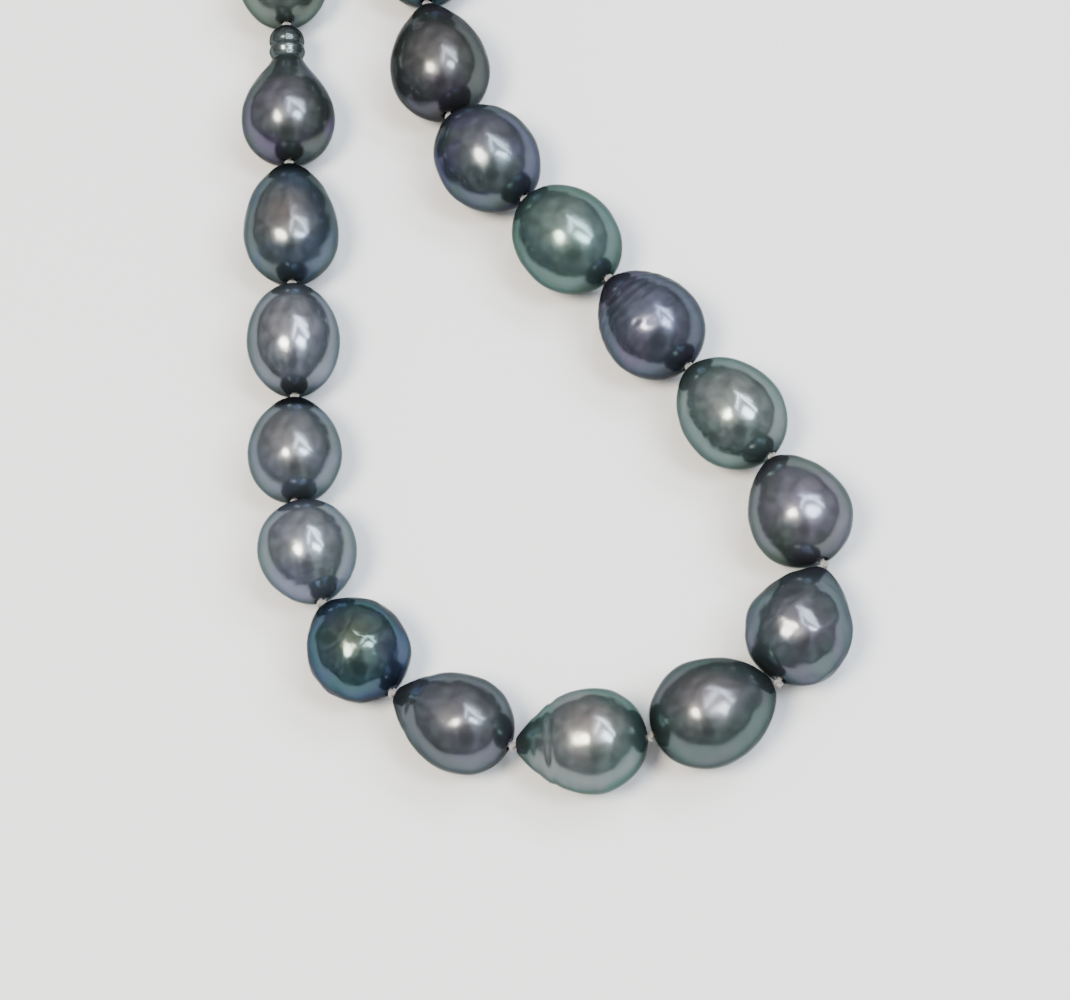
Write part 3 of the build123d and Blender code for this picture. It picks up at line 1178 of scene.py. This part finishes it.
# %% [markdown]
# ## Stringing the pearls
# Each pearl gets its own length of silk, from the knot on its inner side to where the next knot
# starts, so that the strand can bend at every knot. The plain solid of each length says how far
# it reaches. The last pearl at each end has a knot on its outer side too.

# %% Lay the thread and its knots in every pearl
THREAD_START = 0.2
KNOT_CLEARANCE = 0.74
INTO_KNOT = 0.4
LAST_KNOT_DROP = 0.68
SILK_ANGLE = math.radians(60)
LAST_PEARLS = ("pearl_01", "pearl_27")


def string_pearl(pearl_name):
    """The silk through one pearl, with its knots, in place of the plain one."""
    silk_name = pearl_name.replace("pearl", "silk")
    is_last = pearl_name in LAST_PEARLS
    place = strand_place(pearl_name)
    to_silk = place.inverted()
    heights = [(to_silk @ v.co).z for v in frame["nodes"][silk_name].data.vertices]
    low, high = min(heights), max(heights)
    has_inner_knot = low < 0
    top = high - 2 * KNOT_CLEARANCE + INTO_KNOT if is_last else high
    thread = twist_thread(silk_name + "_thread", THREAD_START if has_inner_knot else low, top)
    thread.matrix_world = place
    bpy.ops.object.transform_apply(location=True, rotation=True, scale=True)
    knots = []
    if has_inner_knot:
        knots.append(copy_at(knot_pattern, "inner_knot", place))
    if is_last:
        outer = place @ Matrix.Translation((0, 0, high - LAST_KNOT_DROP))
        knots.append(copy_at(knot_pattern, "outer_knot", outer))
    if knots:
        join_to(thread, knots)
    coat(thread, silk_finish)
    bpy.ops.object.shade_smooth_by_angle(angle=SILK_ANGLE)
    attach(thread, silk_name)
    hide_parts(silk_name)
    return len(thread.data.polygons)


silk_faces = sum(string_pearl(pearl_name) for pearl_name in sorted(drill_holes))
bpy.data.objects.remove(knot_pattern)
print("silk:", len(drill_holes), "lengths,", silk_faces, "faces")

# %% [markdown]
# ## White gold
# The clasp, its lever, its rivet and the end ring are polished white gold. Their plain solids
# already have the right shape, so they only get a finish. A fully metallic shader gives the
# colour to the reflection. Two noises keep it from looking like plastic: a broad one that changes
# the polish from place to place, and a fine one for the hairlines that wear leaves.

# %% Polish the metal
HAZE_SCALE = 350
HAZE_DULLS = 0.16
HAZE_DARKENS = 0.86
HAIRLINE_SCALE = 2600
HAIRLINE_DEPTH = 0.00002


def polish_metal(name, code, roughness, scratches):
    """A polished precious metal with hairline wear."""
    metal, tree, skin, place = new_finish(name, {"Metallic": 1.0})
    haze = add_noise(tree, place, HAZE_SCALE, 4)
    values = {"Value": haze, "To Min": roughness, "To Max": roughness + HAZE_DULLS}
    dull = add_node(tree, "MapRange", values).outputs["Result"]
    tones = add_node(tree, "ValToRGB", {"Fac": haze})
    colour = tone(code)
    tones.color_ramp.elements[0].position = 0.3
    tones.color_ramp.elements[0].color = tuple(v * HAZE_DARKENS for v in colour[:3]) + (1,)
    tones.color_ramp.elements[1].position = 0.7
    tones.color_ramp.elements[1].color = colour
    hairlines = add_noise(tree, place, HAIRLINE_SCALE, Distortion=1.2)
    worn = add_bump(tree, hairlines, scratches, HAIRLINE_DEPTH)
    fill_in(tree, skin, {"Base Color": tones.outputs["Color"], "Roughness": dull, "Normal": worn})
    return metal


white_gold = polish_metal("polished white gold", "d9d6cf", 0.10, 0.2)
lever_gold = polish_metal("lever of white gold", "d2cfc8", 0.16, 0.25)
rivet_steel = polish_metal("rivet of pale steel", "c6c7c9", 0.22, 0.3)
for node_name, metal in (
    ("clasp_body", white_gold),
    ("end_ring", white_gold),
    ("clasp_lever", lever_gold),
    ("clasp_lever_pin", rivet_steel),
):
    for material_slot in frame["nodes"][node_name].material_slots:
        material_slot.material = metal
    print(node_name, "polished")

# %% [markdown]
# ## The route of a wire loop
# Where the silk goes round the clasp's eye and the end ring, it is covered with bullion: a tube
# of very fine wire, coiled turn against turn, which bends with the silk and takes the wear. Its
# middle line is a teardrop: a straight leg out, an arc round the eye, and a leg back.

# %% Lay out the teardrop
WIRE_START = 0.95
LOOP_RADIUS = 1.05
LEG_SPREAD = 0.42


def loop_route(length, spacing):
    """Evenly spaced points of the teardrop, each with the heading of the wire there."""
    apart = math.hypot(length - WIRE_START, LEG_SPREAD)
    spread = math.asin(LOOP_RADIUS / apart) - math.atan2(LEG_SPREAD, length - WIRE_START)
    leg = math.sqrt(apart**2 - LOOP_RADIUS**2)
    arc = LOOP_RADIUS * (math.pi + 2 * spread)
    points = []
    for step in range(int((2 * leg + arc) / spacing) + 1):
        gone = step * spacing
        if gone < leg:
            x = WIRE_START + gone * math.cos(spread)
            y = LEG_SPREAD + gone * math.sin(spread)
            heading = spread
        elif gone < leg + arc:
            heading = spread - (gone - leg) / LOOP_RADIUS
            x = length - LOOP_RADIUS * math.sin(heading)
            y = LOOP_RADIUS * math.cos(heading)
        else:
            back = 2 * leg + arc - gone
            x = WIRE_START + back * math.cos(spread)
            y = -LEG_SPREAD - back * math.sin(spread)
            heading = math.pi - spread
        points.append((Vector((x, y, 0)), heading))
    return points


print("teardrop:", len(loop_route(4, 1)), "points at 1 mm for a loop of 4 mm")

# %% [markdown]
# ## Winding the bullion
# The coil is drawn as one long line that winds round the teardrop, and is then thickened into
# wire. A plain tube with a bumpy material would be quicker, but the turns catch the light one by
# one, and they can be counted. Inside the coil runs the silk.

# %% Wind a coil
COIL_RADIUS = 0.33
COIL_WIRE = 0.07
COIL_PITCH = 0.16
COIL_STEPS = 10
LINING_RADIUS = COIL_RADIUS - 0.02


def wind_coil(name, length):
    """The coil of one wire loop around its silk, flat on the XY plane, in millimetres."""
    winding, core = [], []
    for step, (point, heading) in enumerate(loop_route(length, COIL_PITCH / COIL_STEPS)):
        turn = 2 * math.pi * step / COIL_STEPS
        sideways = Vector((-math.sin(heading), math.cos(heading), 0))
        offset = sideways * math.cos(turn) + Vector((0, 0, math.sin(turn)))
        winding.append(point + offset * COIL_RADIUS)
        if step % (2 * COIL_STEPS) == 0:
            core.append(point)
    coil = draw_line(name, winding)
    thicken(coil, COIL_WIRE, sides=1)
    coat(coil, white_gold)
    lining = draw_line("silk_lining", core)
    thicken(lining, LINING_RADIUS)
    coat(lining, silk_finish)
    join_to(coil, [lining])
    return coil


print("coil:", round(1 / COIL_PITCH, 1), "turns to the millimetre")

# %% [markdown]
# ## Hanging the wire loops
# Each loop starts at the last knot and slopes down to its eye, where its plain solid does. The
# solid's farthest corner from that knot says how long the loop is.

# %% Hang both loops
def loop_place(node_name, last_pearl):
    """The matrix that takes a coil to its place, and the length from the knot to the eye."""
    hole_start, hole_along = drill_holes[last_pearl]
    corners = [vertex.co for vertex in frame["nodes"][node_name].data.vertices]
    silk_corners = [v.co for v in frame["nodes"][last_pearl.replace("pearl", "silk")].data.vertices]
    silk_top = max((corner - hole_start).dot(hole_along) for corner in silk_corners)
    last_knot = hole_start + hole_along * (silk_top - LAST_KNOT_DROP * MM)
    farthest = max(corners, key=lambda corner: (corner - last_knot).length)
    length = (farthest - last_knot).length / MM - LOOP_RADIUS - COIL_RADIUS - COIL_WIRE
    level = Vector((hole_along.x, hole_along.y, 0)).normalized()
    middle = sum(corners, Vector()) / len(corners)
    along = (middle - last_knot).normalized()
    along = (level * along.dot(level) + Vector((0, 0, along.z))).normalized()
    across = Vector((0, 0, 1)).cross(level)
    turn = Matrix((along, across, along.cross(across))).transposed().to_4x4()
    return Matrix.Translation(last_knot) @ turn @ Matrix.Scale(MM, 4), length


for node_name, last_pearl in zip(("french_wire_left", "french_wire_right"), LAST_PEARLS):
    place, length = loop_place(node_name, last_pearl)
    coil = wind_coil(node_name + "_coil", length)
    coil.matrix_world = place
    bpy.ops.object.transform_apply(location=True, rotation=True, scale=True)
    bpy.ops.object.shade_smooth_by_angle(angle=SILK_ANGLE)
    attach(coil, node_name)
    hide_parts(node_name)
    print(node_name, "wound,", len(coil.data.polygons), "faces, loop", round(length, 2), "mm")
